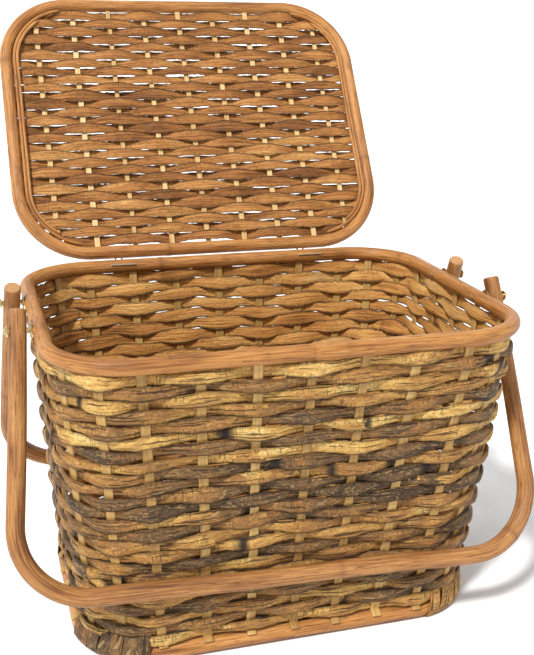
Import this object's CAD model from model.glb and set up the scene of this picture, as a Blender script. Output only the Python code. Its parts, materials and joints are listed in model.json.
import json
import math
import bpy
import numpy as np
from mathutils import Matrix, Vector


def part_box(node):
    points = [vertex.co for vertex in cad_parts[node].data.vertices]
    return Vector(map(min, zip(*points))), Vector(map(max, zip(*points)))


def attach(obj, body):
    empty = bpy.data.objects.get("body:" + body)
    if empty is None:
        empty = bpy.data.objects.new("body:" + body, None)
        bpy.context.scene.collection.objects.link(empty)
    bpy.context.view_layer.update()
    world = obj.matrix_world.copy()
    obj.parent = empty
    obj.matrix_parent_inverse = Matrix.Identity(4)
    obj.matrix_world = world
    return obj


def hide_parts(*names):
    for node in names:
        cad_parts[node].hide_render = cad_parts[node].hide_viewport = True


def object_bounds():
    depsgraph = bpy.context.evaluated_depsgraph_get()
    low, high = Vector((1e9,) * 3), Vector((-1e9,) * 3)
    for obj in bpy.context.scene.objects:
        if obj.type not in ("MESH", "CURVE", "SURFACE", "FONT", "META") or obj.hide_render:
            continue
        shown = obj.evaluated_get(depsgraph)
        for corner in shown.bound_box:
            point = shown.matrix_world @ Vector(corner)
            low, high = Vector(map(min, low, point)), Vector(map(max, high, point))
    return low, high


# A rattan sewing basket: bark-on weave, peeled lining side, bent poles, hinged lid and two handles.
# Everything is in metres; the wall, lid and handles are laid out from the loaded frame.

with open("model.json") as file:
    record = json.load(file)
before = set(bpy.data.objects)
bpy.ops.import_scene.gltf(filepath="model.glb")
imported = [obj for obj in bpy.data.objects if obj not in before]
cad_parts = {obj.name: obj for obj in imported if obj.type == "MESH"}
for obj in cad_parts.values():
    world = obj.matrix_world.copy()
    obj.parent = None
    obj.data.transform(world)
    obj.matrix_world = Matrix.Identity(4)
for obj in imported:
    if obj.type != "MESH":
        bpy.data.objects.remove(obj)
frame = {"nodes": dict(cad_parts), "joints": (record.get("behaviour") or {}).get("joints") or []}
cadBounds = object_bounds()
scene = bpy.context.scene
print("frame loaded:", len(frame["nodes"]), "nodes")

# the camera
cameraSet = {
    "place": (-0.2569, -0.8648, 0.5369),
    "turnRight": 17.05,    # degrees away from looking straight along +Y
    "tiltDown": 17.46,
    "roll": 0.83,
    "lens": 56.4,          # mm, on a 36 mm sensor
}


def aimCamera(look):
    # columns of the turn: the camera's right, its up and the way back from the subject
    yaw, dip, roll = (math.radians(look[k]) for k in ("turnRight", "tiltDown", "roll"))
    ahead = np.array([math.sin(yaw) * math.cos(dip), math.cos(yaw) * math.cos(dip), -math.sin(dip)])
    level = np.array([math.cos(yaw), -math.sin(yaw), 0.0])
    above = np.cross(level, ahead)
    right = level * math.cos(roll) + above * math.sin(roll)
    up = above * math.cos(roll) - level * math.sin(roll)
    data = bpy.data.cameras.new("viewer")
    data.sensor_width = 36.0
    data.lens = look["lens"]
    camera = bpy.data.objects.new("viewer", data)
    turn = np.eye(4)
    turn[:3, 0], turn[:3, 1], turn[:3, 2], turn[:3, 3] = right, up, -ahead, look["place"]
    camera.matrix_world = Matrix(turn.tolist())
    scene.collection.objects.link(camera)
    scene.camera = camera


aimCamera(cameraSet)

# sizes taken from the frame
rimLow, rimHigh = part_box("rim_pole")
baseLow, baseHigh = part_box("base_pole")
poleR = (rimHigh.z - rimLow.z) / 2
rimA, rimB, rimZ = rimHigh.x - poleR, rimHigh.y - poleR, (rimLow.z + rimHigh.z) / 2
baseA, baseB, baseZ = baseHigh.x - poleR, baseHigh.y - poleR, baseLow.z + poleR
wallSet = {
    "rimCorner": 0.064,
    "baseCorner": 0.064,
    "lidCorner": 0.071,
    "frontBays": 6,
    "sideBays": 4,
    "cornerStakes": 2,
}
joints = {j["name"]: j for j in frame["joints"]}
lidAxis = np.array(joints["lid_hinge"]["pos_m"])
lidOpen = math.radians(joints["lid_hinge"]["range_deg"][1])
rowNames = sorted(name for name in frame["nodes"] if name.startswith("side_weaver_"))
rowBoxes = [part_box(name) for name in rowNames]
rowPitch = rowBoxes[1][0].z - rowBoxes[0][0].z
rng = np.random.default_rng(41)


def turnLid(points, angle):
    # rotation about the hinge axis, which runs along X
    y, z = points[..., 1] - lidAxis[1], points[..., 2] - lidAxis[2]
    c, s = math.cos(angle), math.sin(angle)
    return np.stack([points[..., 0], lidAxis[1] + y * c - z * s, lidAxis[2] + y * s + z * c], -1)


def closedBox(name):
    # lowest and highest corners of a lid node after turning it shut
    data = frame["nodes"][name].data
    flat = np.zeros(len(data.vertices) * 3)
    data.vertices.foreach_get("co", flat)
    shut = turnLid(flat.reshape(-1, 3), lidOpen)
    return shut.min(0), shut.max(0)


lidLow, lidHigh = closedBox("lid_pole")
lidA, lidB, lidZ = lidHigh[0] - poleR, lidHigh[1] - poleR, (lidLow[2] + lidHigh[2]) / 2
lidCorner = wallSet["lidCorner"]

# node helpers


def tint(red, green, blue):
    # a colour picked by eye in 0 to 255, made linear
    c = np.array([red, green, blue]) / 255.0
    linear = np.where(c <= 0.04045, c / 12.92, ((c + 0.055) / 1.055) ** 2.4)
    return (*[float(v) for v in linear], 1.0)


def put(tree, kind, props=None, inputs=None):
    # one shader node: props are its settings, inputs are constants or sockets to link
    made = tree.nodes.new("ShaderNode" + kind)
    for key, value in (props or {}).items():
        setattr(made, key, value)
    for key, value in (inputs or {}).items():
        if isinstance(value, bpy.types.NodeSocket):
            tree.links.new(value, made.inputs[key])
        else:
            made.inputs[key].default_value = value
    return made


def ramp(tree, fac, stops):
    # colour ramp through (place, colour) stops
    made = put(tree, "ValToRGB", inputs={"Fac": fac})
    marks = made.color_ramp.elements
    while len(marks) < len(stops):
        marks.new(0.5)
    for mark, (place, colour) in zip(marks, stops):
        mark.position = place
        mark.color = colour
    return made.outputs["Color"]


def band(tree, fac, low, high, start=0.0, end=1.0):
    # smooth step from start to end as fac goes from low to high
    made = put(tree, "MapRange", {"interpolation_type": "SMOOTHSTEP"},
               {"Value": fac, "From Min": low, "From Max": high, "To Min": start, "To Max": end})
    return made.outputs["Result"]


def blendColour(tree, fac, first, second, mode="MIX"):
    made = put(tree, "MixRGB", {"blend_type": mode}, {"Fac": fac, "Color1": first, "Color2": second})
    return made.outputs["Color"]


def sums(tree, mode, first, second):
    return put(tree, "Math", {"operation": mode}, {0: first, 1: second}).outputs[0]


def grain(tree, vector, along, across, detail=3.0, rough=0.55, warp=0.0):
    # noise on the lay map, stretched: along and across are features per metre
    mapped = put(tree, "Mapping", inputs={"Vector": vector, "Scale": (along, across, 1.0)})
    noise = put(tree, "TexNoise", {"noise_dimensions": "2D"},
                {"Vector": mapped.outputs["Vector"], "Scale": 1.0, "Detail": detail, "Roughness": rough,
                 "Distortion": warp})
    return noise.outputs["Fac"]


def startMaterial(name):
    material = bpy.data.materials.new(name)
    material.use_nodes = True
    tree = material.node_tree
    shader = tree.nodes["Principled BSDF"]
    lay = put(tree, "UVMap", {"uv_map": "lay"}).outputs["UV"]
    return material, tree, shader, lay


def trait(tree, name):
    return put(tree, "Attribute", {"attribute_name": name}).outputs["Fac"]


def bumpFrom(tree, shader, height, distance, strength=1.0):
    made = put(tree, "Bump", inputs={"Height": height, "Distance": distance, "Strength": strength})
    tree.links.new(made.outputs["Normal"], shader.inputs["Normal"])


poleTones = {
    "honey": {"light": (208, 151, 87), "mid": (178, 118, 57), "dark": (122, 74, 33), "rough": 0.46},
    "brown": {"light": (198, 146, 88), "mid": (166, 112, 60), "dark": (104, 62, 30), "rough": 0.5},
}


def poleMaterial(name, tones):
    # lacquered cane: fine lengthwise streaks over slow changes of tone, with pores in the cut ends
    material, tree, shader, lay = startMaterial(name)
    slow = grain(tree, lay, 9, 60, 3, 0.6, 0.4)
    streak = grain(tree, lay, 14, 700, 4, 0.7)
    fine = grain(tree, lay, 40, 2600, 2, 0.6)
    fleck = grain(tree, lay, 55, 900, 2, 0.5)
    mixed = sums(tree, "ADD", sums(tree, "MULTIPLY", slow, 0.45), sums(tree, "MULTIPLY", streak, 0.55))
    colour = ramp(tree, mixed, [(0.36, tint(*tones["dark"])), (0.48, tint(*tones["mid"])),
                                (0.64, tint(*tones["light"]))])
    colour = blendColour(tree, band(tree, fine, 0.50, 0.64, 0.0, 0.42), colour, tint(*tones["dark"]))
    colour = blendColour(tree, band(tree, fleck, 0.62, 0.72, 0.0, 0.7), colour, tint(84, 48, 22))
    colour = blendColour(tree, trait(tree, "knot"), colour, tint(120, 72, 38))
    pores = put(tree, "TexVoronoi", {}, {"Vector": put(tree, "TexCoord").outputs["Object"], "Scale": 1100.0})
    cutTone = ramp(tree, pores.outputs["Distance"], [(0.12, tint(96, 60, 34)), (0.4, tint(196, 146, 96))])
    colour = blendColour(tree, trait(tree, "cut"), colour, cutTone)
    tree.links.new(colour, shader.inputs["Base Color"])
    tree.links.new(band(tree, streak, 0.3, 0.7, tones["rough"] - 0.08, tones["rough"] + 0.14),
                   shader.inputs["Roughness"])
    shader.inputs["Coat Weight"].default_value = 0.1
    shader.inputs["Coat Roughness"].default_value = 0.35
    shader.inputs["Specular IOR Level"].default_value = 0.35
    bumpFrom(tree, shader, sums(tree, "ADD", streak, sums(tree, "MULTIPLY", fine, 0.5)), 0.0006, 0.8)
    return material


barkTones = [
    (0.00, (44, 34, 23)), (0.14, (82, 62, 40)), (0.28, (112, 84, 52)), (0.42, (140, 98, 53)),
    (0.56, (166, 116, 58)), (0.70, (194, 146, 76)), (0.85, (222, 178, 98)), (1.00, (240, 206, 132)),
]
peeledTones = [(0.32, (112, 68, 30)), (0.46, (166, 108, 54)), (0.58, (194, 136, 74)), (0.74, (220, 170, 104))]
liningTones = [(0.30, (134, 86, 38)), (0.44, (200, 138, 70)), (0.56, (228, 172, 98)), (0.74, (244, 204, 138))]


def peeledColour(tree, lay, tone, stops):
    # the flat split face: straight fibres, a little tone from strip to strip
    fibre = grain(tree, lay, 16, 800, 4, 0.65)
    slow = grain(tree, lay, 14, 60, 2, 0.5)
    mixed = sums(tree, "ADD", sums(tree, "MULTIPLY", fibre, 0.5), sums(tree, "MULTIPLY", slow, 0.3))
    mixed = sums(tree, "ADD", mixed, sums(tree, "MULTIPLY", tone, 0.16))
    return ramp(tree, mixed, [(place, tint(*c)) for place, c in stops])


def barkMaterial(name, stops, darker=0.0):
    # bark-on split cane: patches from charcoal to gold, flaking edges, cracks along and across;
    # the attribute inner picks the smooth peeled face in the colours of stops, and tone and gold
    # shift whole strips and rows
    material, tree, shader, lay = startMaterial(name)
    tone, gold, inner = trait(tree, "tone"), trait(tree, "gold"), trait(tree, "inner")
    patch = grain(tree, lay, 24, 60, 3, 0.62, 0.6)
    blotch = grain(tree, lay, 110, 260, 4, 0.68, 0.9)
    streak = grain(tree, lay, 80, 760, 4, 0.7, 0.3)
    speck = grain(tree, lay, 420, 700, 3, 0.6, 0.4)
    split = grain(tree, lay, 22, 620, 2, 0.5, 0.3)
    cross = grain(tree, lay, 900, 150, 2, 0.5, 0.5)
    flake = grain(tree, lay, 120, 330, 3, 0.6, 1.2)
    mixed = sums(tree, "ADD", sums(tree, "MULTIPLY", patch, 0.7), sums(tree, "MULTIPLY", blotch, 0.45))
    mixed = sums(tree, "ADD", mixed, sums(tree, "MULTIPLY", streak, 0.4))
    mixed = sums(tree, "ADD", mixed, sums(tree, "MULTIPLY", tone, 0.6))
    mixed = sums(tree, "ADD", mixed, sums(tree, "MULTIPLY", gold, 0.22))
    mixed = sums(tree, "ADD", mixed, sums(tree, "MULTIPLY", speck, 0.45))
    level = sums(tree, "SUBTRACT", mixed, 0.86 + darker)
    colour = ramp(tree, level, [(place, tint(*c)) for place, c in barkTones])
    flaked = band(tree, flake, 0.56, 0.60, 0.0, 1.0)
    colour = blendColour(tree, sums(tree, "MULTIPLY", flaked, 0.38), colour, tint(205, 168, 112))
    worn = band(tree, blotch, 0.60, 0.70, 0.0, 0.45)
    colour = blendColour(tree, worn, colour, tint(138, 114, 80))
    gap = band(tree, split, 0.335, 0.39, 1.0, 0.0)
    colour = blendColour(tree, sums(tree, "MULTIPLY", gap, 0.8), colour, tint(42, 30, 22))
    crossGap = sums(tree, "MULTIPLY", band(tree, cross, 0.36, 0.42, 1.0, 0.0), band(tree, patch, 0.50, 0.58))
    colour = blendColour(tree, sums(tree, "MULTIPLY", crossGap, 0.6), colour, tint(70, 48, 30))
    colour = blendColour(tree, trait(tree, "knot"), colour, tint(38, 30, 24))
    smooth = peeledColour(tree, lay, tone, stops)
    colour = blendColour(tree, band(tree, inner, 0.35, 0.65), colour, smooth)
    colour = blendColour(tree, band(tree, trait(tree, "edge"), 0.5, 1.0, 0.0, 0.85), colour, tint(54, 36, 20))
    tree.links.new(colour, shader.inputs["Base Color"])
    tree.links.new(band(tree, flake, 0.35, 0.65, 0.5, 0.72), shader.inputs["Roughness"])
    shader.inputs["Specular IOR Level"].default_value = 0.3
    height = sums(tree, "ADD", sums(tree, "MULTIPLY", streak, 0.6), sums(tree, "MULTIPLY", flaked, 0.35))
    height = sums(tree, "ADD", height, sums(tree, "MULTIPLY", speck, 0.5))
    height = sums(tree, "SUBTRACT", height, sums(tree, "MULTIPLY", gap, 0.9))
    height = sums(tree, "SUBTRACT", height, sums(tree, "MULTIPLY", crossGap, 0.5))
    bumpFrom(tree, shader, height, 0.0012, 1.0)
    return material


def caneMaterial(name, dark, mid, light, rough=0.55):
    # plain split cane: khaki to cream with straight fibres
    material, tree, shader, lay = startMaterial(name)
    fibre = grain(tree, lay, 18, 1100, 4, 0.7)
    slow = grain(tree, lay, 25, 120, 3, 0.6)
    mixed = sums(tree, "ADD", sums(tree, "MULTIPLY", fibre, 0.55), sums(tree, "MULTIPLY", slow, 0.35))
    mixed = sums(tree, "ADD", mixed, sums(tree, "MULTIPLY", trait(tree, "tone"), 0.2))
    colour = ramp(tree, mixed, [(0.34, tint(*dark)), (0.55, tint(*mid)), (0.76, tint(*light))])
    tree.links.new(colour, shader.inputs["Base Color"])
    shader.inputs["Roughness"].default_value = rough
    bumpFrom(tree, shader, fibre, 0.0004, 0.7)
    return material


def brassMaterial(name, bright, dull, rough):
    # metal with a cloudy tarnish
    material = bpy.data.materials.new(name)
    material.use_nodes = True
    tree = material.node_tree
    shader = tree.nodes["Principled BSDF"]
    where = put(tree, "TexCoord").outputs["Object"]
    cloud = put(tree, "TexNoise", {}, {"Vector": where, "Scale": 420.0, "Detail": 4.0}).outputs["Fac"]
    colour = ramp(tree, cloud, [(0.35, tint(*dull)), (0.62, tint(*bright))])
    tree.links.new(colour, shader.inputs["Base Color"])
    tree.links.new(band(tree, cloud, 0.3, 0.7, rough + 0.15, rough - 0.05), shader.inputs["Roughness"])
    shader.inputs["Metallic"].default_value = 1.0
    bumpFrom(tree, shader, cloud, 0.0001, 0.4)
    return material


honeyPole = poleMaterial("honeyPole", poleTones["honey"])
brownPole = poleMaterial("brownPole", poleTones["brown"])
barkStrip = barkMaterial("barkStrip", liningTones)
lidStrip = barkMaterial("lidStrip", peeledTones)
bindingBark = barkMaterial("bindingBark", peeledTones, 0.1)
khakiStake = caneMaterial("khakiStake", (132, 96, 44), (178, 138, 74), (208, 172, 108))
creamStake = caneMaterial("creamStake", (178, 136, 76), (212, 174, 114), (236, 206, 152))
dullBrass = brassMaterial("dullBrass", (240, 228, 200), (182, 162, 124), 0.3)
pinBrass = brassMaterial("pinBrass", (232, 208, 158), (160, 134, 92), 0.3)
print("materials ready")

# surfaces


def addGrid(parts, points, lay, closedU, closedV, capped=False, **traits):
    # points[i, j]: i along the path, j round it; lay holds one more row or column where the grid closes.
    # Faces join neighbours, wrapping where closed; open ends may be capped with one face each.
    rows, cols = points.shape[:2]
    i, j = np.meshgrid(np.arange(rows if closedU else rows - 1),
                       np.arange(cols if closedV else cols - 1), indexing="ij")
    i, j = i.ravel(), j.ravel()
    ni, nj = (i + 1) % rows, (j + 1) % cols
    quads = np.stack([i * cols + j, ni * cols + j, ni * cols + nj, i * cols + nj], 1)
    quadLay = np.stack([lay[i, j], lay[i + 1, j], lay[i + 1, j + 1], lay[i, j + 1]], 1)
    flat = points.reshape(-1, 3)
    caps = []
    if capped and not closedU:
        caps = [np.arange(cols)[::-1], (rows - 1) * cols + np.arange(cols)]
    # signed volume tells whether the faces point inwards
    a, b, c, d = (flat[quads[:, k]] for k in range(4))
    volume = (np.cross(a, b) * c).sum() + (np.cross(a, c) * d).sum()
    for cap in caps:
        hub = flat[cap].mean(0)
        volume += (np.cross(hub, flat[cap]) * flat[np.roll(cap, -1)]).sum()
    if volume < 0:
        quads, quadLay = quads[:, ::-1], quadLay[:, ::-1]
        caps = [cap[::-1] for cap in caps]
    full = {}
    for key in ("tone", "gold", "inner", "knot", "cut", "edge"):
        full[key] = np.broadcast_to(np.asarray(traits.get(key, 0.0), float), (rows, cols)).reshape(-1)
    parts.append({"points": flat, "quads": quads, "lay": quadLay, "caps": caps, "traits": full})


def makePiece(name, parts, material, body, replaced=()):
    # joins the grids into one mesh with its lay map and traits, and hands it to the frame
    starts = np.cumsum([0] + [len(p["points"]) for p in parts])
    points = np.concatenate([p["points"] for p in parts])
    quads = np.concatenate([p["quads"] + s for p, s in zip(parts, starts)])
    caps = [(cap + s).tolist() for p, s in zip(parts, starts) for cap in p["caps"]]
    mesh = bpy.data.meshes.new(name)
    mesh.from_pydata(points.tolist(), [], quads.tolist() + caps)
    lay = np.concatenate([p["lay"].reshape(-1, 2) for p in parts])
    capLay = [points[cap][:, :2] for cap in caps]
    layer = mesh.uv_layers.new(name="lay")
    layer.data.foreach_set("uv", np.concatenate([lay] + capLay).astype(np.float32).ravel())
    for key in parts[0]["traits"]:
        values = np.concatenate([p["traits"][key] for p in parts]).astype(np.float32)
        mesh.attributes.new(key, "FLOAT", "POINT").data.foreach_set("value", values)
    mesh.polygons.foreach_set("use_smooth", np.ones(len(mesh.polygons), bool))
    mesh.set_sharp_from_angle(angle=math.radians(48))
    mesh.materials.append(material)
    piece = bpy.data.objects.new(name, mesh)
    scene.collection.objects.link(piece)
    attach(piece, body)
    if replaced:
        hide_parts(*replaced)
    return piece


def waver(t, size, count=4, seed=0, periodic=None):
    # a slow wander: a few sines with random phases; whole waves over a periodic length
    draw = np.random.default_rng(seed)
    total = np.zeros_like(t)
    for n in range(1, count + 1):
        rate = 2 * math.pi * n * 3 / periodic if periodic else draw.uniform(6, 40)
        total = total + np.sin(t * rate + draw.uniform(0, 6.28)) / n
    return total * size / 1.6


# the poles of the rim, foot and lid
poleSet = {
    "round": 20,          # points round a pole
    "step": 0.0045,       # spacing of rings along it
    "uneven": 0.012,      # share of the radius that wanders
    "knotOut": 0.00035,
    "knotWide": 0.0022,
    "knotEvery": 0.31,
}


def ringLine(a, b, r):
    # rounded rectangle by length: knots of arc centre and facing angle, joined linearly,
    # so point = centre + r (cos, sin) of the angle. It starts at the middle of the front.
    quarter = math.pi / 2 * r
    steps = [0, a - r, quarter, 2 * (b - r), quarter, 2 * (a - r), quarter, 2 * (b - r), quarter, a - r]
    knots = np.cumsum(steps)
    cx = np.array([0, 1, 1, 1, 1, -1, -1, -1, -1, 0]) * (a - r)
    cy = np.array([-1, -1, -1, 1, 1, 1, 1, -1, -1, -1]) * (b - r)
    face = np.radians([-90, -90, 0, 0, 90, 90, 180, 180, 270, 270])

    def at(s):
        way = np.interp(s, knots, face)
        centre = np.stack([np.interp(s, knots, cx), np.interp(s, knots, cy)], -1)
        out = np.stack([np.cos(way), np.sin(way)], -1)
        return centre + r * out, out
    return at, knots[-1]


def knotMarks(s, length, every, seed):
    # growth knots: narrow swellings at random places about every so far
    draw = np.random.default_rng(seed)
    spots = np.arange(every * draw.uniform(0.2, 0.8), length, every)
    spots = spots + draw.uniform(-0.3, 0.3, len(spots)) * every
    return np.exp(-((s[:, None] - spots) / poleSet["knotWide"]) ** 2).max(1)


def poleRing(parts, a, b, r, radius, z, seed):
    # closed pole: circle of the radius swept along the rounded rectangle
    at, length = ringLine(a, b, r)
    count = int(length / poleSet["step"])
    s = np.arange(count) * length / count
    line, out = at(s)
    phi = np.arange(poleSet["round"]) * 2 * math.pi / poleSet["round"]
    knot = knotMarks(s, length, poleSet["knotEvery"], seed)
    swell = 1 + waver(s, poleSet["uneven"], 4, seed, length)[:, None] \
        + waver(s, poleSet["uneven"] * 0.5, 3, seed + 5, length)[:, None] * np.cos(2 * phi)
    rad = radius * swell + poleSet["knotOut"] * knot[:, None]
    points = np.zeros((count, len(phi), 3))
    points[..., :2] = line[:, None] + out[:, None] * (rad * np.cos(phi))[..., None]
    points[..., 2] = z + rad * np.sin(phi)
    u, v = np.meshgrid(np.arange(count + 1) * length / count,
                       np.arange(len(phi) + 1) * 2 * math.pi / len(phi) * radius, indexing="ij")
    addGrid(parts, points, np.stack([u + seed, v], -1), True, True, knot=0.55 * knot[:, None])


parts = []
poleRing(parts, rimA, rimB, wallSet["rimCorner"], poleR, rimZ, 3)
makePiece("rimPole", parts, honeyPole, "basket", ["rim_pole"])
parts = []
poleRing(parts, baseA, baseB, wallSet["baseCorner"], poleR, baseZ, 7)
makePiece("footPole", parts, honeyPole, "basket", ["base_pole"])
parts = []
poleRing(parts, lidA, lidB, lidCorner, poleR, lidZ, 12)
for part in parts:
    part["points"] = turnLid(part["points"], -lidOpen)
makePiece("lidPole", parts, honeyPole, "lid", ["lid_pole"])
print("poles done")

# the two handles
handleSet = {
    "radius": 0.00775,
    "splay": 3.4,
    "bend": 0.060,
    "stub": 0.018,
    "legSlack": 0.0016,
    "wander": 0.0006,
    "chamfer": 0.0012,
    "thinEnd": 0.93,      # share of the radius at the cut ends
    "thickBar": 1.01,     # and along the grip bar
    "knotEvery": 0.27,
    "frontHang": (0.0068, -0.0068),    # how far the bar is racked, and shifted along X
    "backHang": (0.006, 0.003),
}


def handlePiece(name, node, jointName, way, seed, hang):
    # the pole's heading turns steadily through each bend and is summed along the length;
    # the flat shape then swings back about the pivot until the grip bar lies where the frame has it.
    # hang is rack, which lowers the bar's right end and lifts its left, and shift, which moves it along X,
    # both nothing at the pivots
    rack, shift = hang
    low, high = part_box(node)
    pivot = np.array(joints[jointName]["pos_m"])
    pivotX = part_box("pivot_washers")[1].x + handleSet["legSlack"] + handleSet["radius"]
    radius = handleSet["radius"]
    barY = low.y + radius if way < 0 else high.y - radius
    barZ = low.z + radius
    drop = math.hypot(barY - pivot[1], barZ - pivot[2])
    lean = math.atan2(abs(barY - pivot[1]), pivot[2] - barZ)
    splay, bend = math.radians(handleSet["splay"]), handleSet["bend"]
    turn = math.pi / 2 + splay
    run = bend * math.tan(turn / 2)
    leg = drop / math.cos(splay) - run + handleSet["stub"]
    bar = 2 * (pivotX + drop * math.tan(splay) - run)
    knots = np.cumsum([0, leg, bend * turn, bar, bend * turn, leg])
    heads = np.array([-turn, -turn, 0, 0, turn, turn])
    fineS = np.linspace(0, knots[-1], 6000)
    head = np.interp(fineS, knots, heads)
    ds = fineS[1] - fineS[0]
    mid = (head[1:] + head[:-1]) / 2
    x = np.concatenate([[0], np.cumsum(np.cos(mid)) * ds])
    d = np.concatenate([[0], np.cumsum(np.sin(mid)) * ds])
    x, d = x - (x[0] + x[-1]) / 2, d - d[len(d) // 2] - drop
    count = int(knots[-1] / poleSet["step"])
    s = np.linspace(0, knots[-1], count)
    s = np.concatenate([[0, 0], s, [s[-1], s[-1]]])
    shrink = np.ones(len(s))
    shrink[:2], shrink[-2:] = (0.86, 0.93), (0.93, 0.86)
    cut = np.zeros(len(s))
    cut[:2], cut[-2:] = (1.0, 0.5), (0.5, 1.0)
    s[2] += handleSet["chamfer"]
    s[-3] -= handleSet["chamfer"]
    s[1] += handleSet["chamfer"] * 0.3
    s[-2] -= handleSet["chamfer"] * 0.3
    head = np.interp(s, knots, heads)
    line = np.stack([np.interp(s, fineS, x), np.interp(s, fineS, d)], -1)
    side = np.stack([-np.sin(head), np.cos(head)], -1)
    line = line + side * waver(s, handleSet["wander"], 3, seed)[:, None]
    phi = np.arange(poleSet["round"]) * 2 * math.pi / poleSet["round"]
    knot = knotMarks(s, knots[-1], handleSet["knotEvery"], seed)
    swell = 1 + waver(s, 0.014, 4, seed)[:, None] + waver(s, 0.01, 3, seed + 2)[:, None] * np.cos(2 * phi)
    deep = np.clip(-line[:, 1] / drop, 0, 1.1)
    girth = handleSet["thinEnd"] + (handleSet["thickBar"] - handleSet["thinEnd"]) * np.minimum(deep, 1) ** 0.6
    rad = radius * swell * (shrink * girth)[:, None] + poleSet["knotOut"] * knot[:, None]
    middleX = line[:, 0] + shift * deep
    middleD = line[:, 1] - rack * deep * line[:, 0] / pivotX
    flatX = middleX[:, None] + side[:, 0][:, None] * rad * np.cos(phi)
    flatD = middleD[:, None] + side[:, 1][:, None] * rad * np.cos(phi)
    flatN = rad * np.sin(phi) + waver(s, handleSet["wander"], 3, seed + 9)[:, None]
    y = flatN * math.cos(lean) + way * -flatD * math.sin(lean)
    z = flatD * math.cos(lean) + way * flatN * math.sin(lean)
    points = np.stack([flatX, pivot[1] + y, pivot[2] + z], -1)
    u, v = np.meshgrid(s, np.arange(len(phi) + 1) * 2 * math.pi / len(phi) * radius, indexing="ij")
    parts = []
    addGrid(parts, points, np.stack([u + seed, v], -1), False, True, True,
            knot=0.6 * knot[:, None], cut=cut[:, None])
    makePiece(name, parts, brownPole, node, [node])


handlePiece("frontHandle", "front_handle", "front_handle_pivot", -1, 21, handleSet["frontHang"])
handlePiece("backHandle", "back_handle", "back_handle_pivot", 1, 27, handleSet["backHang"])
print("handles done")

# the wall's line


def stakeKnots():
    # per stake, counted anticlockwise from the right side's front: shares of the straight halves and facing
    side = np.linspace(-1, 1, wallSet["sideBays"] + 1)
    front = np.linspace(-1, 1, wallSet["frontBays"] + 1)
    turns = np.arange(1, wallSet["cornerStakes"] + 1) / (wallSet["cornerStakes"] + 1) * 90
    runs = []
    for quarter, (line, fixed) in enumerate([(side, 1), (front[::-1], 1), (side[::-1], -1), (front, -1)]):
        one = np.full(len(line), float(fixed))
        pair = (one, line) if quarter % 2 == 0 else (line, one)
        runs.append(np.stack([*pair, np.full(len(line), 90.0 * quarter)], -1))
        cornerX, cornerY = [(1, 1), (-1, 1), (-1, -1), (1, -1)][quarter]
        runs.append(np.stack([np.full(2, cornerX), np.full(2, cornerY), 90.0 * quarter + turns], -1))
    knots = np.concatenate(runs)
    return np.concatenate([knots, knots[:1] + [[0, 0, 360]]])


wallKnots = stakeKnots()
stakeCount = len(wallKnots) - 1


def wallAt(u, z, out, along=0.0):
    # point of the wall at stake number u and height z, moved outwards and along; all arrays broadcast
    u = np.mod(u, stakeCount)
    n = np.arange(stakeCount + 1)
    sx, sy, face = (np.interp(u, n, wallKnots[:, k]) for k in range(3))
    face = np.radians(face)
    f = (z - baseZ) / (rimZ - baseZ)
    a = baseA + (rimA - baseA) * f
    b = baseB + (rimB - baseB) * f
    r = wallSet["baseCorner"] + (wallSet["rimCorner"] - wallSet["baseCorner"]) * f
    x = sx * (a - r) + (r + out) * np.cos(face) - along * np.sin(face)
    y = sy * (b - r) + (r + out) * np.sin(face) + along * np.cos(face)
    return np.stack(np.broadcast_arrays(x, y, z), -1)


# woven strips
stripSet = {
    "perBay": 11,         # rings from one stake to the next
    "outerPoints": 8,
    "innerPoints": 4,
    "wave": 0.0026,       # how far a strip swings in or out of the wall
    "narrow": 0.98,       # strip width between stakes, as a share of the row pitch
    "wide": 1.32,         # and where it bulges over a stake
    "crown": 0.0024,      # domed bark side
    "flat": 0.0009,       # split side
    "uneven": 0.09,       # how much the width and place change from stake to stake
    "knots": 0.07,        # dark knots per bay
    "widths": (0.95, 1.04),    # share of the width that whole strips may have
    "sway": 0.04,         # slow change of width along a strip
    "ragged": 0.03,       # quick change of width along a strip
    "rise": 0.03,         # wander up and down, in row pitches
    "lean": 0.1,          # tilt of the section
    "shade": 0.22,        # change of tone from stake to stake
    "lap": 1.1,           # bays by which two lengths overlap
    "lapOut": 0.0011,     # how far the lapped ends stand in or out
    "lengths": 3,
    "bay": 0.043,         # length of one bay for the lay map
    "goldFrom": 12,       # row above which the bark turns golden
}


def stripProfile(outer, inner):
    # closed section: a dome on the bark side, a slightly hollow flat behind; across runs -0.5 to 0.5
    t = np.linspace(-0.5, 0.5, outer)
    dome = np.maximum(0, 1 - (2 * t) ** 2) ** 0.55
    back = np.linspace(0.5, -0.5, inner + 2)[1:-1]
    across = np.concatenate([t, back * 0.96])
    crown = np.concatenate([dome, np.zeros(inner)])
    flat = np.concatenate([np.zeros(outer), np.ones(inner) * (0.85 + 0.15 * np.abs(2 * back))])
    flat[0] = flat[outer - 1] = 0.25
    innerMark = np.concatenate([np.zeros(outer), np.ones(inner)])
    innerMark[0] = innerMark[outer - 1] = 0.4
    return across, crown, flat, innerMark


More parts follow.
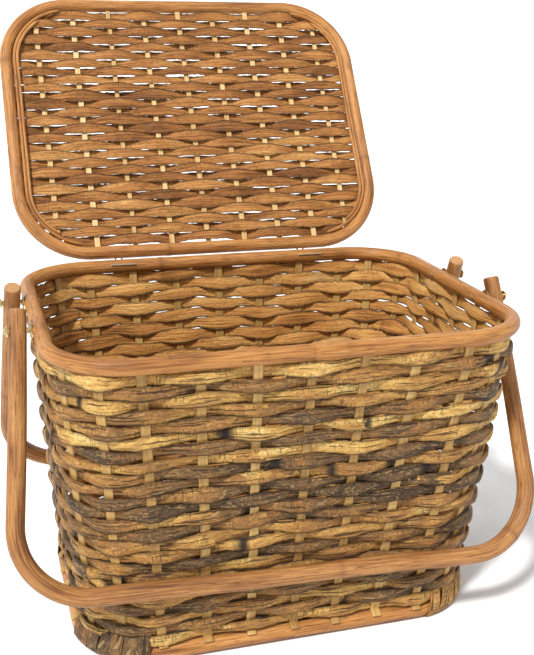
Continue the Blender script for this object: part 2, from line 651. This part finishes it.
def weaveStrip(parts, place, u, phase, pitch, look, tone, gold, seed, endShift, unit):
    # swing = cosine from stake to stake, flattened at its peaks; the strip is widest there.
    # place(u, up, out) gives points; unit is the length of one bay for the lay map
    across, crown, flat, innerMark = stripProfile(look["outerPoints"], look["innerPoints"])
    draw = np.random.default_rng(seed)
    beat = np.cos(math.pi * (u + phase))
    swing = beat * (1.28 - 0.28 * beat ** 2)
    width = pitch * (look["narrow"] + (look["wide"] - look["narrow"]) * np.abs(beat) ** 1.4)
    marks = np.arange(math.floor(u[0]), math.ceil(u[-1]) + 1)
    width = width * draw.uniform(*look["widths"]) * (1 + waver(u, look["sway"], 3, seed + 1))
    width = width * (1 + np.interp(u, marks, draw.normal(0, look["uneven"], len(marks))))
    rise = waver(u, look["rise"] * pitch, 3, seed + 2)
    rise = rise + pitch * np.interp(u, marks, draw.normal(0, 0.5 * look["uneven"], len(marks)))
    lean = np.interp(u, marks, draw.normal(0, look["lean"], len(marks)))
    shade = np.clip(tone + np.interp(u, marks, draw.normal(0, look["shade"], len(marks))), 0, 1)
    spots = draw.uniform(u[0], u[-1], draw.poisson(look["knots"] * len(marks)))
    dark = np.zeros_like(u)
    for spot in spots:
        dark = np.maximum(dark, np.exp(-((u - spot) / draw.uniform(0.08, 0.2)) ** 4))
    fromEnd = np.minimum(u - u[0], u[-1] - u)
    taper = 0.4 + 0.6 * np.clip(fromEnd / 0.5, 0, 1)
    lift = endShift[0] * np.clip(1 - (u - u[0]) / look["lap"], 0, 1) \
        + endShift[1] * np.clip(1 - (u[-1] - u) / look["lap"], 0, 1)
    crownH = look["crown"] * taper * (1 + waver(u, 0.12, 4, seed + 3)) * draw.uniform(0.85, 1.15)
    flatH = look["flat"] * taper
    ragged = 1 + waver(u * 3.1, look["ragged"], 5, seed + 4)
    up = rise[:, None] + width[:, None] * across * ragged[:, None]
    out = (look["wave"] * swing + lift)[:, None] + crownH[:, None] * crown - flatH[:, None] * flat
    out = out + (lean * width)[:, None] * across
    points = place(u[:, None] + 0 * up, up, out)
    ringGap = np.concatenate([[0], np.cumsum(np.abs(np.diff(u)))]) * unit
    around = np.concatenate([[0], np.cumsum(np.hypot(np.diff(np.append(across, across[0])) * pitch,
                                                     np.diff(np.append(crown, crown[0])) * look["crown"]))])
    lu, lv = np.meshgrid(ringGap + draw.uniform(0, 40), around + draw.uniform(0, 9), indexing="ij")
    addGrid(parts, points, np.stack([lu, lv], -1), False, True, True,
            tone=shade[:, None], gold=gold, inner=innerMark[None, :], knot=dark[:, None],
            edge=np.where(across < 0, -2 * across, 1.7 * across)[None, :])


driftSet = {
    "height": 0.0016,
    "rates": ((0.9, 14.0, 0.3), (2.3, -27.0, 1.9), (4.1, 40.0, 4.4)),    # round, up and the start
    "easeOver": 0.03,
}


def drift(u, z):
    # neighbouring rows rise and dip together: slow sines in stake number and height, none at rim and foot
    ease = np.clip(np.minimum(z - baseZ, rimZ - z) / driftSet["easeOver"], 0, 1)
    turn = 2 * math.pi / stakeCount
    total = sum(np.sin(round(rate / turn) * turn * u + up * z + start) / (n + 1)
                for n, (rate, up, start) in enumerate(driftSet["rates"]))
    return driftSet["height"] * ease * total


def sideRow(number, node, low, high):
    # a row is a few lengths of cane laid end over end right round the basket
    middle = (low.z + high.z) / 2
    parts = []
    start = rng.uniform(0, stakeCount)
    gold = np.clip((number - stripSet["goldFrom"]) / (len(rowNames) - stripSet["goldFrom"]), 0, 1) ** 1.5
    span = stakeCount / stripSet["lengths"]

    def place(u, up, out):
        return wallAt(u, middle + up + drift(u, middle), out)
    for n in range(stripSet["lengths"]):
        first = round(start + n * span)
        rings = int((span + stripSet["lap"]) * stripSet["perBay"]) + 1
        u = first - stripSet["lap"] / 2 + np.arange(rings) / stripSet["perBay"]
        weaveStrip(parts, place, u, number, rowPitch, stripSet, rng.uniform(0, 1), gold,
                   int(rng.integers(1e6)), (-stripSet["lapOut"], stripSet["lapOut"]), stripSet["bay"])
    return makePiece(f"barkRow.{number:02d}", parts, barkStrip, "basket", [node])


for number, (node, (low, high)) in enumerate(zip(rowNames, rowBoxes), 1):
    sideRow(number, node, low, high)
print("side rows done")

# stakes
stakeSet = {
    "width": 0.0080,
    "thick": 0.0022,
    "footTurn": 48,        # degrees that a stake's foot follows the base pole round to the outside
    "intoRim": 0.003,
    "offPole": 0.0003,     # space between a foot and the pole it bends round
}


def slatSection(width, thick):
    # a flat strip with eased edges, as (across, through) pairs going round
    across = np.array([-0.5, -0.46, -0.2, 0.2, 0.46, 0.5, 0.5, 0.46, 0.0, -0.46, -0.5]) * width
    through = np.array([0.15, 0.42, 0.5, 0.5, 0.42, 0.15, -0.3, -0.5, -0.5, -0.5, -0.3]) * thick
    return across, through


def sideStakes(name, numbers, nodesHidden, wrapped):
    # straight up the wall's middle; the foot bends round the base pole to lie on its outer side
    parts = []
    reach = poleR + stakeSet["thick"] / 2 + stakeSet["offPole"]
    for number in numbers:
        wide = stakeSet["width"] * rng.uniform(0.92, 1.06)
        shift = rng.uniform(-0.0007, 0.0007)
        z = np.linspace(baseZ + reach, rimZ - poleR + stakeSet["intoRim"], 40)
        out = np.zeros_like(z)
        nOut, nUp = np.ones_like(z), np.zeros_like(z)
        if wrapped:
            bend = np.radians(np.linspace(90 - stakeSet["footTurn"] * rng.uniform(0.7, 1.3), 90, 10)[:-1])
            z = np.concatenate([baseZ + reach * np.sin(bend), z])
            out = np.concatenate([reach * np.cos(bend), out])
            nOut = np.concatenate([np.cos(bend), nOut])
            nUp = np.concatenate([np.sin(bend), nUp])
            # ease the turn of the face where the foot leaves the pole
            soft = np.linspace(0, 1, 4)
            nOut[9:13], nUp[9:13] = np.sin(soft * math.pi / 2), np.cos(soft * math.pi / 2)
        across, through = slatSection(wide, stakeSet["thick"])
        wander = shift + waver(z, 0.0004, 3, int(rng.integers(1e6)))
        zz = z[:, None] + nUp[:, None] * through
        oo = out[:, None] + nOut[:, None] * through
        points = wallAt(np.full_like(zz, number), zz, oo, across + wander[:, None])
        length = np.concatenate([[0], np.cumsum(np.hypot(np.diff(z), np.diff(out)))])
        around = np.concatenate([[0], np.cumsum(np.hypot(*np.diff(
            np.stack([np.append(across, across[0]), np.append(through, through[0])]), axis=1)))])
        lu, lv = np.meshgrid(length + rng.uniform(0, 30), around + rng.uniform(0, 5), indexing="ij")
        addGrid(parts, points, np.stack([lu, lv], -1), False, True, True, tone=rng.uniform(0, 1))
    return makePiece(name, parts, khakiStake, "basket", nodesHidden)


sidePlus = wallSet["sideBays"] + 1
frontPlus = wallSet["frontBays"] + 1
corner = wallSet["cornerStakes"]
rightSet = list(range(0, sidePlus))
backSet = list(range(sidePlus + corner, sidePlus + corner + frontPlus))
leftSet = [n + stakeCount // 2 for n in rightSet]
frontSet = [n + stakeCount // 2 for n in backSet]
cornerSet = [n for n in range(stakeCount) if n not in rightSet + backSet + leftSet + frontSet]
sideStakes("rightStakes", rightSet, ["right_stakes"], True)
sideStakes("backStakes", backSet, ["back_stakes"], True)
sideStakes("leftStakes", leftSet, ["left_stakes"], True)
sideStakes("frontStakes", frontSet, ["front_stakes"], True)
sideStakes("cornerStakes", cornerSet, ["corner_stakes"], False)
print("stakes done")

# flat panels: the lid and the bottom


def panelHalf(off, across, along, r):
    # half length of a round-cornered panel at a distance off its middle
    over = np.maximum(0, abs(off) - across + r)
    return along - r + math.sqrt(max(0.0, r * r - over * over))


def wovenPanel(name, a, b, r, z, stakeXs, rows, look, body, shut, slats, weaves, slatName, slatMaterial,
               stripMaterial, edgeGap):
    # strips run along X over and under slats that run along Y; shut turns the finished points into place
    weave, slatParts = [], []
    # edgeGap is left free between the outermost strips and the pole
    pitch = 2 * (b - poleR - edgeGap) / rows
    bay = stakeXs[1] - stakeXs[0]
    for row in range(rows):
        y = (row + 0.5 - rows / 2) * pitch
        end = panelHalf(abs(y) + pitch / 2, b, a, r) - poleR + look["tuck"]
        count = int(2 * end / bay * look["perBay"])
        u = np.linspace(-end - stakeXs[0], end - stakeXs[0], count) / bay

        def place(u, up, out):
            return np.stack(np.broadcast_arrays(stakeXs[0] + u * bay, y + up, z + out), -1)
        weaveStrip(weave, place, u, row, pitch, look, rng.uniform(0, 1), 0.25,
                   int(rng.integers(1e6)), (0, 0), bay)
    across, through = slatSection(look["slat"], look["slatThick"])
    for x in stakeXs:
        half = panelHalf(abs(x) + look["slat"] / 2, a, b, r) - poleR + look["tuck"]
        y = np.linspace(-half, half, 60)
        wander = waver(y, 0.0006, 3, int(rng.integers(1e6)))
        wide = rng.uniform(0.85, 1.1)
        sideways = x + across * wide + wander[:, None]
        points = np.stack(np.broadcast_arrays(sideways, y[:, None], z + through), -1)
        lu, lv = np.meshgrid(y + rng.uniform(0, 30), np.arange(len(across) + 1) * 0.0012, indexing="ij")
        addGrid(slatParts, points, np.stack([lu, lv], -1), False, True, True, tone=rng.uniform(0, 1))
    for part in weave + slatParts:
        part["points"] = shut(part["points"])
    makePiece(name, weave, stripMaterial, body, weaves)
    makePiece(slatName, slatParts, slatMaterial, body, slats)


lidLook = dict(stripSet, wave=0.0026, narrow=1.01, wide=1.34, crown=0.0013, flat=0.0009,
               slat=0.0052, slatThick=0.0024, perBay=12, uneven=0.07, tuck=0.003)
lidSet = {"step": 0.040, "rows": 28, "edgeGap": 0.0016}
bottomRows = 15
slatNumbers = np.arange(-4, 5)
lidXs = slatNumbers * lidSet["step"]
wovenPanel("lidWeave", lidA, lidB, lidCorner, lidZ, lidXs, lidSet["rows"], lidLook, "lid",
           lambda p: turnLid(p, -lidOpen), ["lid_stakes"], ["lid_weavers"], "lidSlats", creamStake,
           lidStrip, lidSet["edgeGap"])
bottomLow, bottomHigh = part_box("bottom_weavers")
bottomZ = (bottomLow.z + bottomHigh.z) / 2
bottomXs = slatNumbers * (baseA - wallSet["baseCorner"]) * 2 / wallSet["frontBays"]
bottomLook = dict(lidLook, wave=0.0026, narrow=0.78, wide=1.0, slat=0.0080)
wovenPanel("bottomWeave", baseA, baseB, wallSet["baseCorner"], bottomZ, bottomXs, bottomRows, bottomLook,
           "basket", lambda p: p, ["bottom_stakes"], ["bottom_weavers"], "bottomSlats", khakiStake,
           barkStrip, 0.0)
print("panels done")

# split cane laid inside the lid's pole
trimSet = {"radius": 0.0017, "offsets": (0.0017, 0.0050), "drop": 0.0046, "reach": (0.9, 0.62)}


def lidTrim():
    # half-round cane along each side and round its corners, on the lid's underside
    parts = []
    for offset, share in zip(trimSet["offsets"], trimSet["reach"]):
        inset = poleR + offset
        at, length = ringLine(lidA - inset, lidB - inset, lidCorner - inset)
        quarter = math.pi / 2 * (lidCorner - inset)
        straight = 2 * (lidB - lidCorner)
        frontHalf = lidA - lidCorner
        for mid in (frontHalf + quarter + straight / 2, length - frontHalf - quarter - straight / 2):
            half = straight / 2 + quarter * share
            s = np.linspace(mid - half, mid + half, 90)
            line, out = at(s)
            phi = np.arange(10) * 2 * math.pi / 10
            rad = trimSet["radius"] * np.clip(np.minimum(s - s[0], s[-1] - s) / 0.01 + 0.45, 0, 1)[:, None]
            rad = rad * (1 + waver(s, 0.05, 3, int(mid * 1e4)))[:, None]
            points = np.zeros((len(s), len(phi), 3))
            points[..., :2] = line[:, None] + out[:, None] * (rad * np.cos(phi))[..., None]
            points[..., 2] = lidZ - trimSet["drop"] + rad * np.sin(phi)
            lu, lv = np.meshgrid(s, np.arange(len(phi) + 1) * 0.001, indexing="ij")
            lay = np.stack([lu + offset * 900, lv], -1)
            addGrid(parts, turnLid(points, -lidOpen), lay, False, True, True)
    makePiece("lidTrim", parts, honeyPole, "lid", ["lid_trim"])


lidTrim()

# corner bindings
bindSet = {
    "turns": 7,
    "points": 48,         # round each turn
    "arc": 66,            # degrees of the corner that the turns cover
    "width": 0.0112,
    "thick": 0.0013,
    "up": 0.0125,         # how much further than the pole each turn reaches up the wall
    "skew": 4.0,
    "lowest": 0.0001,
}


def cornerBinding(name, node, cornerX, cornerY, tone):
    # each turn is a closed flat strip round the base pole and the lowest row of the wall
    facing = {(1, 1): 0, (-1, 1): 90, (-1, -1): 180, (1, -1): 270}[(cornerX, cornerY)]
    parts = []
    r = wallSet["baseCorner"]
    for turn in range(bindSet["turns"]):
        middle = facing + 45 + (turn / (bindSet["turns"] - 1) - 0.5) * (bindSet["arc"] - 8)
        phi = np.linspace(0, 2 * math.pi, bindSet["points"] + 1)[:-1]
        grow = bindSet["thick"] / 2 + 0.0002 + rng.uniform(0, 0.0005)
        reach = poleR + grow
        out = reach * np.cos(phi)
        up = np.where(np.sin(phi) > 0, (reach + bindSet["up"] * rng.uniform(0.9, 1.1)) * np.sin(phi),
                      reach * np.sin(phi))
        skew = np.radians(bindSet["skew"] * rng.uniform(0.6, 1.4) * np.sin(phi) * np.where(turn % 2, 1, 0.6))
        across, through = slatSection(bindSet["width"] * rng.uniform(0.9, 1.1), bindSet["thick"])
        nOut, nUp = np.cos(phi), np.sin(phi)
        oo = out[:, None] + nOut[:, None] * through
        zz = np.maximum(baseZ + up[:, None] + nUp[:, None] * through, bindSet["lowest"])
        face = math.radians(middle) + skew[:, None]
        x = cornerX * (baseA - r) + (r + oo) * np.cos(face) - across * np.sin(face)
        y = cornerY * (baseB - r) + (r + oo) * np.sin(face) + across * np.cos(face)
        points = np.stack([x, y, zz], -1)
        lu, lv = np.meshgrid(np.arange(bindSet["points"] + 1) * 0.0012 + rng.uniform(0, 30),
                             np.arange(len(across) + 1) * 0.0016, indexing="ij")
        addGrid(parts, points, np.stack([lu, lv], -1), True, True, tone=tone + rng.uniform(-0.15, 0.15))
    makePiece(name, parts, bindingBark, "basket", [node])


cornerBinding("bindingFrontLeft", "binding_front_left", -1, -1, 0.45)
cornerBinding("bindingFrontRight", "binding_front_right", 1, -1, 0.9)
cornerBinding("bindingBackLeft", "binding_back_left", -1, 1, 0.5)
cornerBinding("bindingBackRight", "binding_back_right", 1, 1, 0.6)
print("trim and bindings done")

# hinge wires, pins and washers keep their own shape
for node, material in (("hinge_rim_pins", dullBrass), ("hinge_lid_pins", dullBrass),
                       ("pivot_pins", pinBrass), ("pivot_washers", pinBrass)):
    data = frame["nodes"][node].data
    data.materials.clear()
    data.materials.append(material)

# floor and light
lightSet = {
    "world": 0.58,
    "sun": 3.4,
    "sunWide": 7.0,              # degrees across, for soft shadow edges
    "sunTurn": (40, 0, -44),
    "paper": 0.95,
    "sheetReach": 14.0,
    "sheetBack": 9.0,            # where the sheet turns up, and how high it goes
    "sheetHigh": 9.0,
    "sheetDrop": 0.0002,
}


def studio():
    # a white sheet on the ground that rises behind, an even grey-white surround and one broad sun
    reach, back, high = (lightSet[k] for k in ("sheetReach", "sheetBack", "sheetHigh"))
    low = cadBounds[0][2] - lightSet["sheetDrop"]
    sheet = bpy.data.meshes.new("sheet")
    sheet.from_pydata([(-reach, -reach, low), (reach, -reach, low), (reach, back, low), (-reach, back, low),
                       (-reach, back, high), (reach, back, high)], [], [(0, 1, 2, 3), (3, 2, 5, 4)])
    ground = bpy.data.objects.new("sheet", sheet)
    scene.collection.objects.link(ground)
    paper = bpy.data.materials.new("paper")
    paper.use_nodes = True
    shader = paper.node_tree.nodes["Principled BSDF"]
    shader.inputs["Base Color"].default_value = (*[lightSet["paper"]] * 3, 1)
    shader.inputs["Roughness"].default_value = 0.9
    sheet.materials.append(paper)
    world = bpy.data.worlds.new("studio")
    world.use_nodes = True
    world.node_tree.nodes["Background"].inputs["Color"].default_value = (1, 1, 1, 1)
    world.node_tree.nodes["Background"].inputs["Strength"].default_value = lightSet["world"]
    scene.world = world
    lamp = bpy.data.lights.new("sun", "SUN")
    lamp.energy, lamp.angle = lightSet["sun"], math.radians(lightSet["sunWide"])
    holder = bpy.data.objects.new("sun", lamp)
    holder.rotation_euler = [math.radians(v) for v in lightSet["sunTurn"]]
    scene.collection.objects.link(holder)


studio()
scene.view_settings.view_transform = "Standard"
